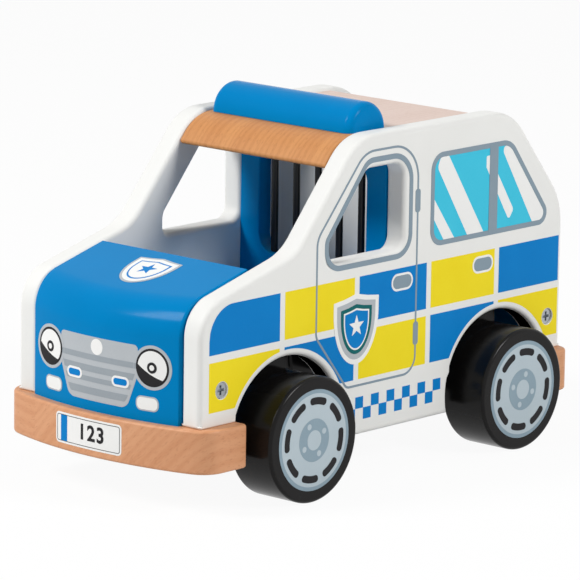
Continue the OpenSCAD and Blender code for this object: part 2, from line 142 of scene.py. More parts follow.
def quads(rows, columns, wrap_rows=False, wrap_columns=True):
    """Corner numbers of the faces of a grid, which may close on itself either way."""
    i = np.arange(rows if wrap_rows else rows - 1)[:, None]
    j = np.arange(columns if wrap_columns else columns - 1)[None]
    below, beside = (i + 1) % rows, (j + 1) % columns
    return np.stack([i * columns + j, i * columns + beside, below * columns + beside, below * columns + j],
                    -1).reshape(-1, 4)


def edge_profile(low, high, radius):
    """How an edge runs from the high face to the low one, as (inset, height): at angle t it is drawn in by
    r(1 - sin t) and has fallen by r(1 - cos t), and the other edge mirrors it. The radius may vary."""
    t = np.linspace(0, math.pi / 2, EDGE_STEPS)[:, None]
    inset = np.concatenate([1 - np.sin(t), 1 - np.cos(t)]) * radius
    height = np.concatenate([high - (1 - np.cos(t)) * radius, low + (1 - np.sin(t)) * radius])
    return inset, height


def board(outlines, low, high, radii, pits=()):
    """A board as [u, v, w]: a rounded edge carried round each outline, anticlockwise outside and clockwise
    for a hole, with both faces filled. A pit is (centre, radius, depth), sunk into the high face."""
    points, faces, caps, count = [], [], {0: [], -1: []}, 0
    for outline, radius in zip(outlines, radii):
        inset, height = edge_profile(low, high, np.broadcast_to(radius, len(outline)))
        rings = np.concatenate([drawn_in(outline, inset), height[..., None]], -1)
        number = count + np.arange(height.size).reshape(height.shape)
        points.append(rings.reshape(-1, 3))
        faces.append(quads(*height.shape) + count)
        for end, cap in caps.items():
            cap.append((rings[end], number[end]))
        count += height.size
    for centre, radius, depth in pits:
        rim = arc((0, 0), 1, 360, 0, PIT_STEPS + 1)[:-1]
        sizes = np.array([radius + PIT_LIP, radius + PIT_LIP_FALL, radius, radius, 0])
        falls = np.array([0, PIT_LIP_FALL, PIT_LIP, depth, depth])
        flat = np.array(centre) + sizes[:, None, None] * rim
        level = np.broadcast_to((high - falls)[:, None, None], flat.shape[:2] + (1,))
        rings = np.concatenate([flat, level], -1)
        points.append(rings.reshape(-1, 3))
        faces.append(quads(*flat.shape[:2]) + count)
        caps[0].append((rings[0], count + np.arange(len(rim))))
        count += len(points[-1])
    for cap in caps.values():
        number = np.concatenate([numbers for _, numbers in cap])
        faces.append(number[np.array(tessellate_polygon([ring * [1, 1, 0] for ring, _ in cap]))])
    return np.concatenate(points), faces


def across(shape, side=1):
    """A board's [u, v, w] read as [y, z, x], on the left side or mirrored on the right."""
    points, faces = shape
    return np.column_stack([side * points[:, 2], points[:, 0], points[:, 1]]), faces


def upright(shape):
    """A board's [u, v, w] read as [x, z, y]."""
    points, faces = shape
    return points[:, [0, 2, 1]], faces


def turned(profile, centre, side=1, steps=128):
    """A profile of [radius, x] turned about an axle: (x, y + r cos t, z + r sin t)."""
    t = np.linspace(0, 2 * math.pi, steps, endpoint=False)
    r, x = profile[:, :1], profile[:, 1:]
    points = np.stack([side * x + 0 * t, centre[0] + r * np.cos(t), centre[1] + r * np.sin(t)], -1)
    return points.reshape(-1, 3), [quads(len(profile), steps)]


def loft(rings):
    """Closed rings of equal count, joined in order and closed by a face at each end."""
    count, size = rings.shape[:2]
    ends = np.arange(count * size).reshape(count, size)[[0, -1]]
    return rings.reshape(-1, 3), [quads(count, size), ends]


def placed(name, data):
    """A new object in the scene."""
    holder = bpy.data.objects.new(name, data)
    bpy.context.scene.collection.objects.link(holder)
    return holder


def add_piece(name, shapes, finish, body, node=None, sharp=38):
    """Puts shapes of one finish into one mesh, in metres, and sets it on its body in place of its solid."""
    counts = np.cumsum([0] + [len(points) for points, _ in shapes])
    groups = [group + count for (_, faces), count in zip(shapes, counts) for group in faces]
    mesh = bpy.data.meshes.new(name)
    mesh.from_pydata((np.concatenate([points for points, _ in shapes]) * MM).tolist(), [],
                     [face for group in groups for face in group.tolist()])
    merged = bmesh.new()
    merged.from_mesh(mesh)
    bmesh.ops.remove_doubles(merged, verts=merged.verts, dist=1e-7)
    bmesh.ops.recalc_face_normals(merged, faces=merged.faces)
    merged.to_mesh(mesh)
    merged.free()
    mesh.polygons.foreach_set("use_smooth", np.ones(len(mesh.polygons), bool))
    mesh.set_sharp_from_angle(angle=math.radians(sharp))
    mesh.materials.append(finish)
    piece = placed(name, mesh)
    even = piece.modifiers.new("even_shading", "WEIGHTED_NORMAL")
    even.keep_sharp = True
    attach(piece, body)
    if node:
        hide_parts(node)
    return piece


# Finishes

def linear(code):
    """An sRGB hex colour as linear red, green and blue, and full alpha."""
    channels = np.array([int(code[i:i + 2], 16) for i in (1, 3, 5)]) / 255
    return (*np.where(channels <= 0.04045, channels / 12.92, ((channels + 0.055) / 1.055) ** 2.4), 1.0)


def per_mm(size):
    """A texture scale whose features are this many millimetres across."""
    return 1 / (size * MM)


def add_node(tree, kind, inputs=None, **settings):
    """Adds a node with its settings, and sets or links its inputs."""
    node = tree.nodes.new(kind)
    for key, value in settings.items():
        setattr(node, key, value)
    for key, value in (inputs or {}).items():
        if isinstance(value, bpy.types.NodeSocket):
            tree.links.new(value, node.inputs[key])
        else:
            node.inputs[key].default_value = value
    return node


def new_finish(name):
    """An empty material with its node tree and the object's own coordinates."""
    finish = bpy.data.materials.new(name)
    finish.use_nodes = True
    tree = finish.node_tree
    tree.nodes.clear()
    place = add_node(tree, "ShaderNodeTexCoord").outputs["Object"]
    return finish, tree, place


def noise(tree, place, size, detail=2.0):
    """Soft noise with features this many millimetres across."""
    return add_node(tree, "ShaderNodeTexNoise", {"Vector": place, "Scale": per_mm(size),
                                                 "Detail": detail}).outputs["Fac"]


def worked_out(tree, operation, *values, clamp=False):
    """A sum of this kind on numbers or outputs."""
    return add_node(tree, "ShaderNodeMath", dict(enumerate(values)), operation=operation,
                    use_clamp=clamp).outputs[0]


def mapped(tree, place, **change):
    """Coordinates with a Rotation or a Scale applied."""
    return add_node(tree, "ShaderNodeMapping", {"Vector": place, **change}).outputs["Vector"]


def blend(tree, share, first, last):
    """A colour that goes from the first to the last with the share."""
    return add_node(tree, "ShaderNodeMix", {0: share, 6: first, 7: last}, data_type="RGBA").outputs[2]


def bumped(tree, height, strength, depth):
    """The surface's normal, tilted by a height map of this depth."""
    return add_node(tree, "ShaderNodeBump", {"Height": height, "Strength": strength,
                                             "Distance": depth * MM}).outputs["Normal"]


def close_finish(tree, shader_inputs):
    """Ends a finish with its shader."""
    shader = add_node(tree, "ShaderNodeBsdfPrincipled", shader_inputs)
    add_node(tree, "ShaderNodeOutputMaterial", {"Surface": shader.outputs["BSDF"]})


def sprayed_paint(name, deep, light, roughness, shine):
    """Sprayed paint on sanded board: an even colour that drifts a little over 30 mm, and a faint orange peel
    about 1.5 mm across that breaks up its reflections."""
    finish, tree, place = new_finish(name)
    colour = blend(tree, noise(tree, place, 30, 3.0), linear(deep), linear(light))
    peel = noise(tree, place, 1.5)
    close_finish(tree, {"Base Color": colour, "Roughness": roughness, "Specular IOR Level": shine,
                        "Normal": bumped(tree, peel, 0.12, 0.06)})
    return finish


def screen_ink(name, deep, light):
    """Screen-printed ink: flat colour with a fine mottle from the mesh, 0.8 mm across so that it shows."""
    finish, tree, place = new_finish(name)
    mottle, cloud = noise(tree, place, 0.8), noise(tree, place, 18)
    both = worked_out(tree, "MULTIPLY_ADD", mottle, 0.5, cloud, clamp=True)
    colour = blend(tree, both, linear(deep), linear(light))
    close_finish(tree, {"Base Color": colour, "Roughness": 0.45, "Specular IOR Level": 0.07,
                        "Normal": bumped(tree, mottle, 0.1, 0.03)})
    return finish


def clear_beech(name, pale, warm, fleck, ring_mm, ring_way, joint_x=None):
    """Sanded beech under clear lacquer: growth lines that wander, broad warm and pale zones, and short ray
    flecks along the grain, drawn 0.5 mm wide so that they show. Past a glue joint the grain lies level."""
    finish, tree, place = new_finish(name)
    along = mapped(tree, place, Rotation=ring_way)
    if joint_x is not None:
        apart = add_node(tree, "ShaderNodeSeparateXYZ", {0: place})
        past = worked_out(tree, "LESS_THAN", apart.outputs["X"], joint_x * MM)
        level = mapped(tree, place, Rotation=(0, math.pi / 2, 0))
        along = add_node(tree, "ShaderNodeMix", {0: past, 4: along, 5: level},
                         data_type="VECTOR").outputs[1]
    grain = mapped(tree, along, Scale=(1, 0.2, 0.2))
    zone = noise(tree, grain, 14, 3.0)
    rings = add_node(tree, "ShaderNodeTexWave", {"Vector": grain, "Scale": per_mm(ring_mm) * math.pi / 10,
                                                 "Distortion": 11.0, "Detail": 3.0, "Detail Scale": 0.7})
    lines = add_node(tree, "ShaderNodeMapRange", {"Value": rings.outputs["Fac"], "From Min": 0.3,
                                                  "To Min": -0.1, "To Max": 0.15})
    mixed = worked_out(tree, "ADD", zone, lines.outputs[0], clamp=True)
    wood = blend(tree, mixed, linear(pale), linear(warm))
    specks = noise(tree, grain, 0.5)
    mask = add_node(tree, "ShaderNodeMapRange", {"Value": specks, "From Min": 0.55, "From Max": 0.75,
                                                 "To Max": 0.45})
    close_finish(tree, {"Base Color": blend(tree, mask.outputs[0], wood, linear(fleck)), "Roughness": 0.45,
                        "Specular IOR Level": 0.22, "Normal": bumped(tree, specks, 0.1, 0.04)})
    return finish


def bright_zinc(name, dull, bright):
    """Zinc-plated steel: a bright metal with fine drawn scratches about 0.3 mm apart."""
    finish, tree, place = new_finish(name)
    lines = noise(tree, mapped(tree, place, Scale=(0.1, 1, 1)), 0.3, 3.0)
    colour = blend(tree, lines, linear(dull), linear(bright))
    rough = add_node(tree, "ShaderNodeMapRange", {"Value": lines, "To Min": 0.22, "To Max": 0.45})
    close_finish(tree, {"Base Color": colour, "Metallic": 1.0, "Roughness": rough.outputs[0]})
    return finish


def moulded_nylon(name, deep, light):
    """Natural nylon: a milky, slightly waxy plastic with a fine moulded grain of 0.6 mm."""
    finish, tree, place = new_finish(name)
    grain = noise(tree, place, 0.6)
    close_finish(tree, {"Base Color": blend(tree, grain, linear(deep), linear(light)), "Roughness": 0.5,
                        "Normal": bumped(tree, grain, 0.1, 0.03)})
    return finish


BUMPER_JOINT_X = -37.2
white_paint = sprayed_paint("satin_white_paint", "#e8e8e5", "#eeeeeb", 0.45, 0.2)
blue_paint = sprayed_paint("gloss_blue_paint", "#007bb9", "#0084c5", 0.16, 0.03)
black_paint = sprayed_paint("gloss_black_paint", "#121111", "#1a1919", 0.2, 0.14)
# Matt black used only as painted shade inside the wheel arches
arch_shade_black = sprayed_paint("shade_black_for_arches", "#060606", "#0b0b0b", 0.9, 0.0)
black_enamel = sprayed_paint("black_enamel_rod", "#121214", "#1a1a1d", 0.3, 0.3)
cross_beech = clear_beech("cross_cut_beech", "#d79a61", "#bb7b48", "#a06336", 3.2, (0, 0, 0))
bumper_beech = clear_beech("slash_cut_beech", "#dfa77f", "#cd8e65", "#b4754f", 4.4, (0, -math.pi / 4, 0),
                           BUMPER_JOINT_X)
pale_beech = clear_beech("pale_beech", "#e2cdc3", "#d6bdb0", "#c6a594", 3.0, (0, 0, 0))
zinc = bright_zinc("bright_zinc_steel", "#8f9499", "#c3c7cb")
nylon = moulded_nylon("natural_nylon", "#dedcd2", "#ebe9e0")

ink_white = screen_ink("white_ink", "#ececea", "#f2f2f0")
ink_blue = screen_ink("blue_ink", "#0576c0", "#0c80c9")
ink_yellow = screen_ink("yellow_ink", "#eed51c", "#f4df2c")
ink_grey = screen_ink("grey_ink", "#8394a0", "#8b9ca8")
ink_cyan = screen_ink("cyan_ink", "#38bedc", "#48c6e2")
ink_teal = screen_ink("teal_ink", "#115a5c", "#1a6869")
ink_silver = screen_ink("silver_grey_ink", "#aeb4b9", "#b9bec2")
ink_steel = screen_ink("steel_grey_ink", "#929aa2", "#9da5ab")
ink_black = screen_ink("black_ink", "#242325", "#2e2d2f")
ink_hub = screen_ink("pale_blue_grey_ink", "#b3c2ca", "#bcc9d0")
ink_rim = screen_ink("mid_blue_grey_ink", "#889daa", "#93a7b3")


# Side panels: the board outline with its wheel arches, its window and its screw holes

foot_angle = math.degrees(math.asin((foot_z - wheel_r) / ARCH_R))
sill_angle = math.degrees(math.asin((wheel_r - sill_z) / ARCH_R))
FOOT_CORNER = 1.2
ON_ARCH = 0.1


def panel_outline():
    """The side panel in [y, z], anticlockwise from the nose foot: two arches, then the body lines with their
    corner arcs."""
    front_arch = arc((axle_y["front"], wheel_r), ARCH_R, 180 - foot_angle, -sill_angle)
    rear_arch = arc((axle_y["rear"], wheel_r), ARCH_R, 180 + sill_angle, foot_angle)
    body = [(tail_y, foot_z), (tail_y, SHOULDER_Z), (ROOF_END_Y, roof_z), (SCREEN_Y, roof_z),
            (COWL_Y, COWL_Z), (nose_y, NOSE_Z)]
    points = np.concatenate([[(nose_y, foot_z)], front_arch, rear_arch, body])
    radii = np.zeros(len(points))
    radii[-6:] = FOOT_CORNER, SHOULDER_R, ROOF_END_R, SCREEN_R, COWL_R, NOSE_R
    radii[0] = FOOT_CORNER
    return rounded(points, radii)


def panel_edge(outline):
    """The edge radius along the panel's outline: soft on the arches, nearly square on a bumper."""
    y, z = outline.T
    on_arch = np.min([np.hypot(y - centre, z - wheel_r) for centre in axle_y.values()], 0) < ARCH_R + ON_ARCH
    on_foot = np.abs(z - foot_z) < FOOT_CORNER
    return np.where(on_foot, FOOT_EDGE, np.where(on_arch, ARCH_EDGE, PANEL_EDGE))


PILLAR_W = 14.8
WINDOW_SET_BACK, WINDOW_L = 20.4, 49.5
WINDOW_RADII = [3, 6, 6, 6, 6]
window_front_y = COWL_Y + WINDOW_SET_BACK
window_rear_y = window_front_y + WINDOW_L
window_low_z, window_top_z = 98.3, roof_z - PILLAR_W
screen_slope = (roof_z - COWL_Z) / (SCREEN_Y - COWL_Y)
screen_drop = PILLAR_W * math.hypot(1, screen_slope)


def window_outline():
    """The window in [y, z], clockwise: its front edge follows the windscreen, one pillar behind it."""
    front_top_z = COWL_Z + (window_front_y - COWL_Y) * screen_slope - screen_drop
    slope_top_y = COWL_Y + (window_top_z - COWL_Z + screen_drop) / screen_slope
    points = [(window_front_y, window_low_z), (window_front_y, front_top_z), (slope_top_y, window_top_z),
              (window_rear_y, window_top_z), (window_rear_y, window_low_z)]
    return rounded(points, WINDOW_RADII)


NOSE_SCREW_BACK, TAIL_SCREW_AHEAD = 13.3, 9.5
screw_y = (nose_y + NOSE_SCREW_BACK, tail_y - TAIL_SCREW_AHEAD)
SCREW_Z, SCREW_PIT_R, SCREW_PIT_DEPTH = 53.7, 3.7, 2.6
screw_pits = [((y, SCREW_Z), SCREW_PIT_R, SCREW_PIT_DEPTH) for y in screw_y]
panel = panel_outline()
for side_name, side in SIDES:
    shape = board([panel, window_outline()], inner_x, outer_x, [panel_edge(panel), PANEL_EDGE], screw_pits)
    add_piece(side_name + "_side_board", [across(shape, side)], white_paint, "body",
              side_name + "_side_panel")


# Bonnet block, bumpers, header, roof, light bar, partition, tail rail and tailgate

def bow(x, radius):
    """How far an arc of this radius falls back at x from its middle."""
    return radius - np.sqrt(radius ** 2 - np.asarray(x) ** 2)


def edge_drop(x, half, radius):
    """How far a rounded edge of this radius has fallen at x, near the ends at plus and minus half."""
    past = np.clip((np.abs(x) - (half - radius)) / radius, 0, 1)
    return radius * (1 - np.sqrt(1 - past ** 2))


def nose_front(x):
    """Y of the bowed front at x."""
    return nose_front_y + bow(x, NOSE_BOW_R)


def bonnet_z(y):
    """Height of the bonnet at y."""
    return NOSE_Z + (y - nose_y) * BONNET_RISE


nose_turn = math.pi / 2 - math.atan(BONNET_RISE)
ACROSS_STEPS, WALL_STEPS, NOSE_STEPS, BONNET_STEPS = 40, 8, 18, 12


def bonnet_block():
    """The nose profile carried across the car: at each x a wall at the bowed front, an arc of the nose radius
    that touches wall and bonnet, the bonnet line, and the back. It all falls in at the side edges."""
    half = inner_x
    edge = half - BLOCK_EDGE * (1 - np.sin(np.linspace(0, math.pi / 2, EDGE_STEPS)))
    x = np.concatenate([-edge[::-1], np.linspace(-edge[0], edge[0], ACROSS_STEPS)[1:-1], edge])
    front = nose_front(x)
    reach = NOSE_R * math.tan(nose_turn / 2)
    centre_y, centre_z = front + NOSE_R, bonnet_z(front) - reach
    t = np.linspace(0, nose_turn, NOSE_STEPS)
    wall = np.linspace(foot_z, centre_z, WALL_STEPS, endpoint=False)
    arc_y = centre_y - NOSE_R * np.cos(t)[:, None]
    arc_z = centre_z + NOSE_R * np.sin(t)[:, None]
    share = np.linspace(0, 1, BONNET_STEPS)[1:, None]
    slope_y = arc_y[-1] + share * (bonnet_rear_y - BLOCK_EDGE - arc_y[-1])
    back_y = np.full((2, len(x)), bonnet_rear_y)
    back_z = np.array([[bonnet_rear_z - BLOCK_EDGE], [foot_z]]) + 0 * x
    y = np.concatenate([np.broadcast_to(front, wall.shape), arc_y, slope_y, back_y])
    z = np.concatenate([wall, arc_z, bonnet_z(slope_y), back_z])
    drop = edge_drop(x, half, BLOCK_EDGE)
    lean = np.concatenate([np.zeros(len(wall)), t, np.full(len(slope_y), nose_turn), [0, 0]])[:, None]
    facing = np.where(np.arange(len(y)) < len(y) - 2, 1, -1)[:, None]
    y = y + facing * drop * np.cos(lean)
    z = z - drop * np.sin(lean)
    return loft(np.stack([np.broadcast_to(x, y.shape), y, z], -1).transpose(1, 0, 2))


BUMPER_CORNER_R = {"front": 12.0, "rear": 6.0}
BUMPER_INNER_R = 2.0
BOW_POINTS = 23


def bumper_outline(end):
    """A bumper in [x, y], anticlockwise: a bowed side away from the car and a straight one towards it."""
    (left, low_y, _), (right, high_y, _) = corners(end + "_bumper")
    corner_r = BUMPER_CORNER_R[end]
    x = np.concatenate([[left], np.linspace(left + corner_r, right - corner_r, BOW_POINTS), [right]])
    sag = bow(x, BUMPER_BOW_R)
    front = end == "front"
    bowed = np.column_stack([x, low_y + sag]) if front else np.column_stack([x, high_y - sag])[::-1]
    straight = [(right, high_y), (left, high_y)] if front else [(left, low_y), (right, low_y)]
    radii = [corner_r] + [0] * BOW_POINTS + [corner_r, BUMPER_INNER_R, BUMPER_INNER_R]
    return rounded(np.concatenate([bowed, straight]), radii)


LIGHT_END_R = 3.6
LIGHT_END_SHARE = 0.4
LIGHT_END_STEPS, LIGHT_ROUND_STEPS = 9, 49


def light_bar():
    """A half-round bar: (x, y + R cos t, z + R sin t), where R(x) falls off by an arc at each end."""
    (left, front, foot), (right, back, _) = corners("light_bar")
    radius = (back - front) / 2
    t = np.linspace(0, math.pi / 2, LIGHT_END_STEPS)
    end_x, end_size = LIGHT_END_R * (1 - np.cos(t)), radius - LIGHT_END_R * (1 - np.sin(t))
    x = np.concatenate([[left], left + end_x, right - end_x[::-1], [right]])
    size = np.concatenate([[radius * LIGHT_END_SHARE], end_size, end_size[::-1], [radius * LIGHT_END_SHARE]])
    around = np.linspace(0, math.pi, LIGHT_ROUND_STEPS)
    y = (front + back) / 2 + np.multiply.outer(size, np.cos(around))
    z = foot + np.multiply.outer(size, np.sin(around))
    return loft(np.stack([np.broadcast_to(x[:, None], y.shape), y, z], -1))


HEADER_LIP_R, HEADER_INSET = 1.5, 1.0
ROOF_JOINT_R, ROOF_END_EDGE = 0.5, 2.0


def header_outline():
    """The windscreen header in [y, z], anticlockwise: its front carries on the windscreen's line."""
    (_, front, low), (_, back, high) = corners("windscreen_header")
    lean_y = front + (high - low) / screen_slope
    return rounded([(front, low), (back, low), (back, high), (lean_y, high)],
                   [HEADER_LIP_R, ROOF_JOINT_R, ROOF_JOINT_R, SCREEN_R - HEADER_INSET])


def block_outline(node, radii):
    """A packed block's end in [y, z], anticlockwise from its low front corner."""
    (_, y0, z0), (_, y1, z1) = corners(node)
    return rounded([(y0, z0), (y1, z0), (y1, z1), (y0, z1)], radii)


CELL_CUT_HALF, CELL_CUT_LOW, CELL_CUT_TOP, CELL_CUT_R = 32.0, 85.5, 134.0, 8.5
CELL_EDGES = [0.4, 0.8]
RAIL_R, GATE_TOP_R, GATE_EDGE, GATE_FOOT_FLAT = 0.8, 1.5, 1.0, 0.01


def partition_outlines():
    """The partition in [x, z] with its barred cut-out."""
    (x0, _, z0), (x1, _, z1) = corners("cell_partition")
    outer = np.array([(x0, z0), (x1, z0), (x1, z1), (x0, z1)], float)
    cut = [(-CELL_CUT_HALF, CELL_CUT_LOW), (-CELL_CUT_HALF, CELL_CUT_TOP), (CELL_CUT_HALF, CELL_CUT_TOP),
           (CELL_CUT_HALF, CELL_CUT_LOW)]
    return [outer, rounded(cut, [CELL_CUT_R] * 4)]


def add_block(name, outline, finish, node, body="body", edge=BLOCK_EDGE):
    """Adds a block whose outline in [y, z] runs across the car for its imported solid's width."""
    low, high = corners(node)
    add_piece(name, [across(board([outline], low[0], high[0], [edge]))], finish, body, node)


add_piece("bonnet", [bonnet_block()], blue_paint, "body", "bonnet_block")
for end in ENDS:
    low, high = corners(end + "_bumper")
    shape = board([bumper_outline(end)], low[2], high[2], [BUMPER_EDGE])
    add_piece(end + "_bumper_bar", [shape], bumper_beech, "body", end + "_bumper")
add_block("header", header_outline(), cross_beech, "windscreen_header")
roof_radii = [ROOF_JOINT_R, ROOF_END_EDGE, ROOF_END_EDGE, ROOF_JOINT_R]
add_block("roof_board", block_outline("roof_panel", roof_radii), pale_beech, "roof_panel")
add_piece("blue_light_bar", [light_bar()], blue_paint, "body", "light_bar")
partition_y = [c[1] for c in corners("cell_partition")]
add_piece("cell_board", [upright(board(partition_outlines(), *partition_y, CELL_EDGES))], blue_paint, "body",
          "cell_partition")
add_block("tail_rail", block_outline("rear_rail", [RAIL_R] * 4), blue_paint, "rear_rail")
gate_round = float(np.ptp([c[1] for c in corners("tailgate")])) / 2 - GATE_FOOT_FLAT
gate_radii = [gate_round, gate_round, GATE_TOP_R, GATE_TOP_R]
add_block("tailgate_board", block_outline("tailgate", gate_radii), blue_paint, "tailgate",
          "tailgate", GATE_EDGE)


# Wheels

WHEEL_EDGE = 1.5
AXLE_R, AXLE_HOLE = 2.5, 15.0


def wheel_profile():
    """[radius, x] of a wheel from its axle hole, over its rounded tread, to the middle of its face."""
    inset, x = edge_profile(wheel_in_x, wheel_out_x, WHEEL_EDGE)
    tread = np.column_stack([wheel_r - inset, x])[::-1]
    hole = [(0, wheel_in_x + AXLE_HOLE), (AXLE_R, wheel_in_x + AXLE_HOLE), (AXLE_R, wheel_in_x)]
    return np.concatenate([hole, tread, [(0, wheel_out_x)]])


for end in ENDS:
    for side_name, side in SIDES:
        shape = turned(wheel_profile(), (axle_y[end], wheel_r), side)
        add_piece(f"{end}_{side_name}_tyre", [shape], black_paint, end + "_axle_set",
                  f"{end}_{side_name}_wheel")


# Printed sheets: each lies on a piece at a small height, so that one can lie on another

SUNK = -0.05
LAYER = 0.06


def sheet(grid, surface, layer, loop=True):
    """A closed sheet of ink: the grid [u, v] laid on a surface at two heights, its rows taken out over the
    top and back underneath."""
    ring = np.concatenate([grid, grid[::-1]])
    height = np.repeat([LAYER * layer, SUNK], len(grid))[:, None]
    points = surface(ring[..., 0], ring[..., 1], height)
    rows, columns = ring.shape[:2]
    faces = [quads(rows, columns, True, loop)]
    if not loop:
        faces.append(np.arange(rows * columns).reshape(rows, columns)[:, [0, -1]].T)
    return points.reshape(-1, 3), faces


def filled(outline, rings=6, centre=None):
    """A grid that shrinks an outline to a point inside it."""
    outline = dense(outline)
    centre = outline.mean(0) if centre is None else np.array(centre)
    return centre + np.linspace(1, 0, rings)[:, None, None] * (outline - centre)


def holed(outline, centre, radius):
    """A grid from an outline in to a round hole, each point straight towards the hole's middle."""
    outline = dense(outline)
    spoke = outline - np.array(centre)
    hole = np.array(centre) + radius * spoke / np.linalg.norm(spoke, axis=1)[:, None]
    return hole + np.linspace(1, 0, 6)[:, None, None] * (outline - hole)


def band(outline, width):
    """A grid between an anticlockwise outline and the same drawn in by a width."""
    return drawn_in(dense(outline), np.linspace(0, width, 3)[:, None])


def strip(along, low, high, rows=4):
    """A grid between two curves over the same stations."""
    share = np.linspace(0, 1, rows)[:, None]
    return np.stack([np.broadcast_to(along, (rows, len(along))), low + share * (high - low)], -1)


def disc(centre, radius, steps=72):
    """A grid over a round spot."""
    return filled(arc(centre, radius, 0, 360, steps + 1)[:-1], 5, centre)


def pill(centre, width, height, radius):
    """An anticlockwise rectangle with rounded corners."""
    w, h = width / 2, height / 2
    points = np.array(centre) + np.array([(-w, -h), (w, -h), (w, h), (-w, h)])
    return rounded(points, [radius] * 4)


def spot(ink, layer, centre, width, height, radius):
    """The print of a filled pill."""
    return ink, filled(pill(centre, width, height, radius)), layer, True


SHIELD_STEPS = 16


def shield(centre, width, height):
    """An anticlockwise shield: a quarter ellipse up each side from the point, and a low crown."""
    w, h = width / 2, height / 2
    top, ear, crest = 0.5 * h, 0.84 * h, 0.9 * h
    t = np.linspace(0, math.pi / 2, SHIELD_STEPS)
    right = np.column_stack([w * np.sin(t), top - (top + h) * np.cos(t)])
    crown = np.array([(w, ear), (0.5 * w, crest), (0, h), (-0.5 * w, crest), (-w, ear)])
    return np.array(centre) + np.concatenate([right, crown, right[:0:-1] * [-1, 1]])


STAR_WAIST = 0.42


def star(centre, radius):
    """A five-pointed star, anticlockwise."""
    t = math.pi / 2 + np.arange(10) * math.pi / 5
    r = np.where(np.arange(10) % 2 == 0, radius, radius * STAR_WAIST)
    return np.array(centre) + np.column_stack([r * np.cos(t), r * np.sin(t)])


# Side livery, measured along the car from the middle of the wheelbase

TOP_ROW, BOTTOM_ROW = (69.7, 90.6), (44.8, 66.4)
CHECK_EDGES = (-121.2, -74.1, -26.1, 21.7, 68.4, 113.8)
CHECK_GAP, CHECK_STEPS = 3.1, 90
ARCH_BAND_R = 37.5
NOSE_CHECK_R = 15.0
SCREW_CHECK_HALF = 14.0
SCREW_CLEAR = 0.3
axle_from_mid = (axle_y["rear"] - axle_y["front"]) / 2


def over_arches(y, low):
    """The lower edge of a check at y: its row, or the white band round an arch where that is higher."""
    past = np.minimum(np.abs(y + axle_from_mid), np.abs(y - axle_from_mid))
    rise = np.sqrt(np.clip(ARCH_BAND_R ** 2 - past ** 2, 0, None))
    return np.where(rise > 0, np.maximum(low, wheel_r + rise), low)


def check(column, row):
    """One check: a strip between its row's lower edge, cut back round the arches, and its upper edge, rounded
    where it lies behind the nose. Where it has a screw, the part round the screw is a plate with a hole."""
    half_gap = CHECK_GAP / 2
    y = np.linspace(CHECK_EDGES[column] + half_gap, CHECK_EDGES[column + 1] - half_gap, CHECK_STEPS)
    low, high = over_arches(y, row[0]), np.full(len(y), row[1])
    if column == 0 and row is TOP_ROW:
        past = np.clip(y[0] + NOSE_CHECK_R - y, 0, None)
        high = high - NOSE_CHECK_R + np.sqrt(NOSE_CHECK_R ** 2 - past ** 2)
    screws = [s - mid_y for s in screw_y if y[0] < s - mid_y < y[-1] and row is BOTTOM_ROW]
    if not screws:
        return [(strip(y, low, high), False)]
    near = np.abs(y - screws[0]) < SCREW_CHECK_HALF
    first, last = np.flatnonzero(near)[[0, -1]]
    arch = slice(last, None) if first == 0 else slice(0, first + 1)
    outline = np.concatenate([np.column_stack([y, low])[near], np.column_stack([y, high])[near][::-1]])
    plate = holed(outline, (screws[0], SCREW_Z), SCREW_PIT_R + SCREW_CLEAR)
    return [(plate, True), (strip(y[arch], low[arch], high[arch]), False)]


DOOR = rounded([(-32.2, 42.1), (13.2, 42.1), (13.2, 145.3), (-22.4, 145.3), (-52.5, 110.6), (-52.5, 67.4)],
               [4, 8, 16, 14, 10, 6])
DOOR_LINE_W = 1.0
WINDOW_FRAME = rounded([(-47.6, 94.9), (9.8, 94.9), (9.8, 142.4), (-20.9, 142.4), (-47.6, 109.3)],
                       [10, 10.5, 13, 9, 6])
WINDOW_FRAME_W = 2.4
REAR_WINDOW = rounded([(22, 97.2), (108.3, 97.3), (76.8, 139.2), (22, 139.2)], [7.5, 5.5, 11, 8])
REAR_FRAME_W = 2.3
REAR_WINDOW_MIDDLE = (58, 116)
REAR_POST = ((64.8, 118.2), 5.8, 40, 0.5)
GLINTS = [
    rounded([(31.7, 98.6), (38.9, 98.6), (24, 118.8), (24, 109.8)], [0.3] * 4),
    rounded([(47.8, 98.6), (59, 98.6), (33.4, 137.4), (28.4, 137.4), (26.2, 132.4)], [0.3, 0.3, 0.3, 3, 3]),
    rounded([(76, 102.5), (79.2, 107), (61.9, 133.6), (59.7, 133.6), (59.7, 128.4)], [1.2, 2, 0.3, 0.8, 2]),
    rounded([(93.2, 98.6), (101, 98.6), (102.8, 103), (75.4, 137), (71.6, 136.4), (71.5, 133.8)],
            [0.3, 0.3, 0.3, 0.3, 1.5, 2]),
]
DOOR_PULLS = ((3.6, 84.4), (58.6, 84.6))
PULL_MARGIN, PULL_PLATE = (14.2, 7.8, 3.8), (12.2, 5.8, 2.8)
HINGE_Y, HINGE_Z, HINGE_SIZE = 13.2, (119.4, 59.8), (3.3, 10.6, 1.5)
DOOR_BADGE = ((-26.6, 67.6), 25, 27)
DOOR_BADGE_INKS = [(ink_white, -2.2), (ink_silver, 0), (ink_teal, 2.4), (ink_white, 4.2), (ink_blue, 5.0),
                   (ink_white, 0.2)]
STRIP_CHECK = 5.2
STRIP_START, STRIP_Z, STRIP_COUNT = -31.3, 26.4, 12


def sill_checks():
    """Two rows of small squares along the sill, set like a chess board."""
    cells = [(i, j) for i in range(STRIP_COUNT) for j in range(2) if (i + j) % 2 == 0]
    return [strip(STRIP_START + STRIP_CHECK * np.array([i, i + 1.0]), np.full(2, STRIP_Z + STRIP_CHECK * j),
                  np.full(2, STRIP_Z + STRIP_CHECK * (j + 1))) for i, j in cells]


STAR_RISE = 0.05


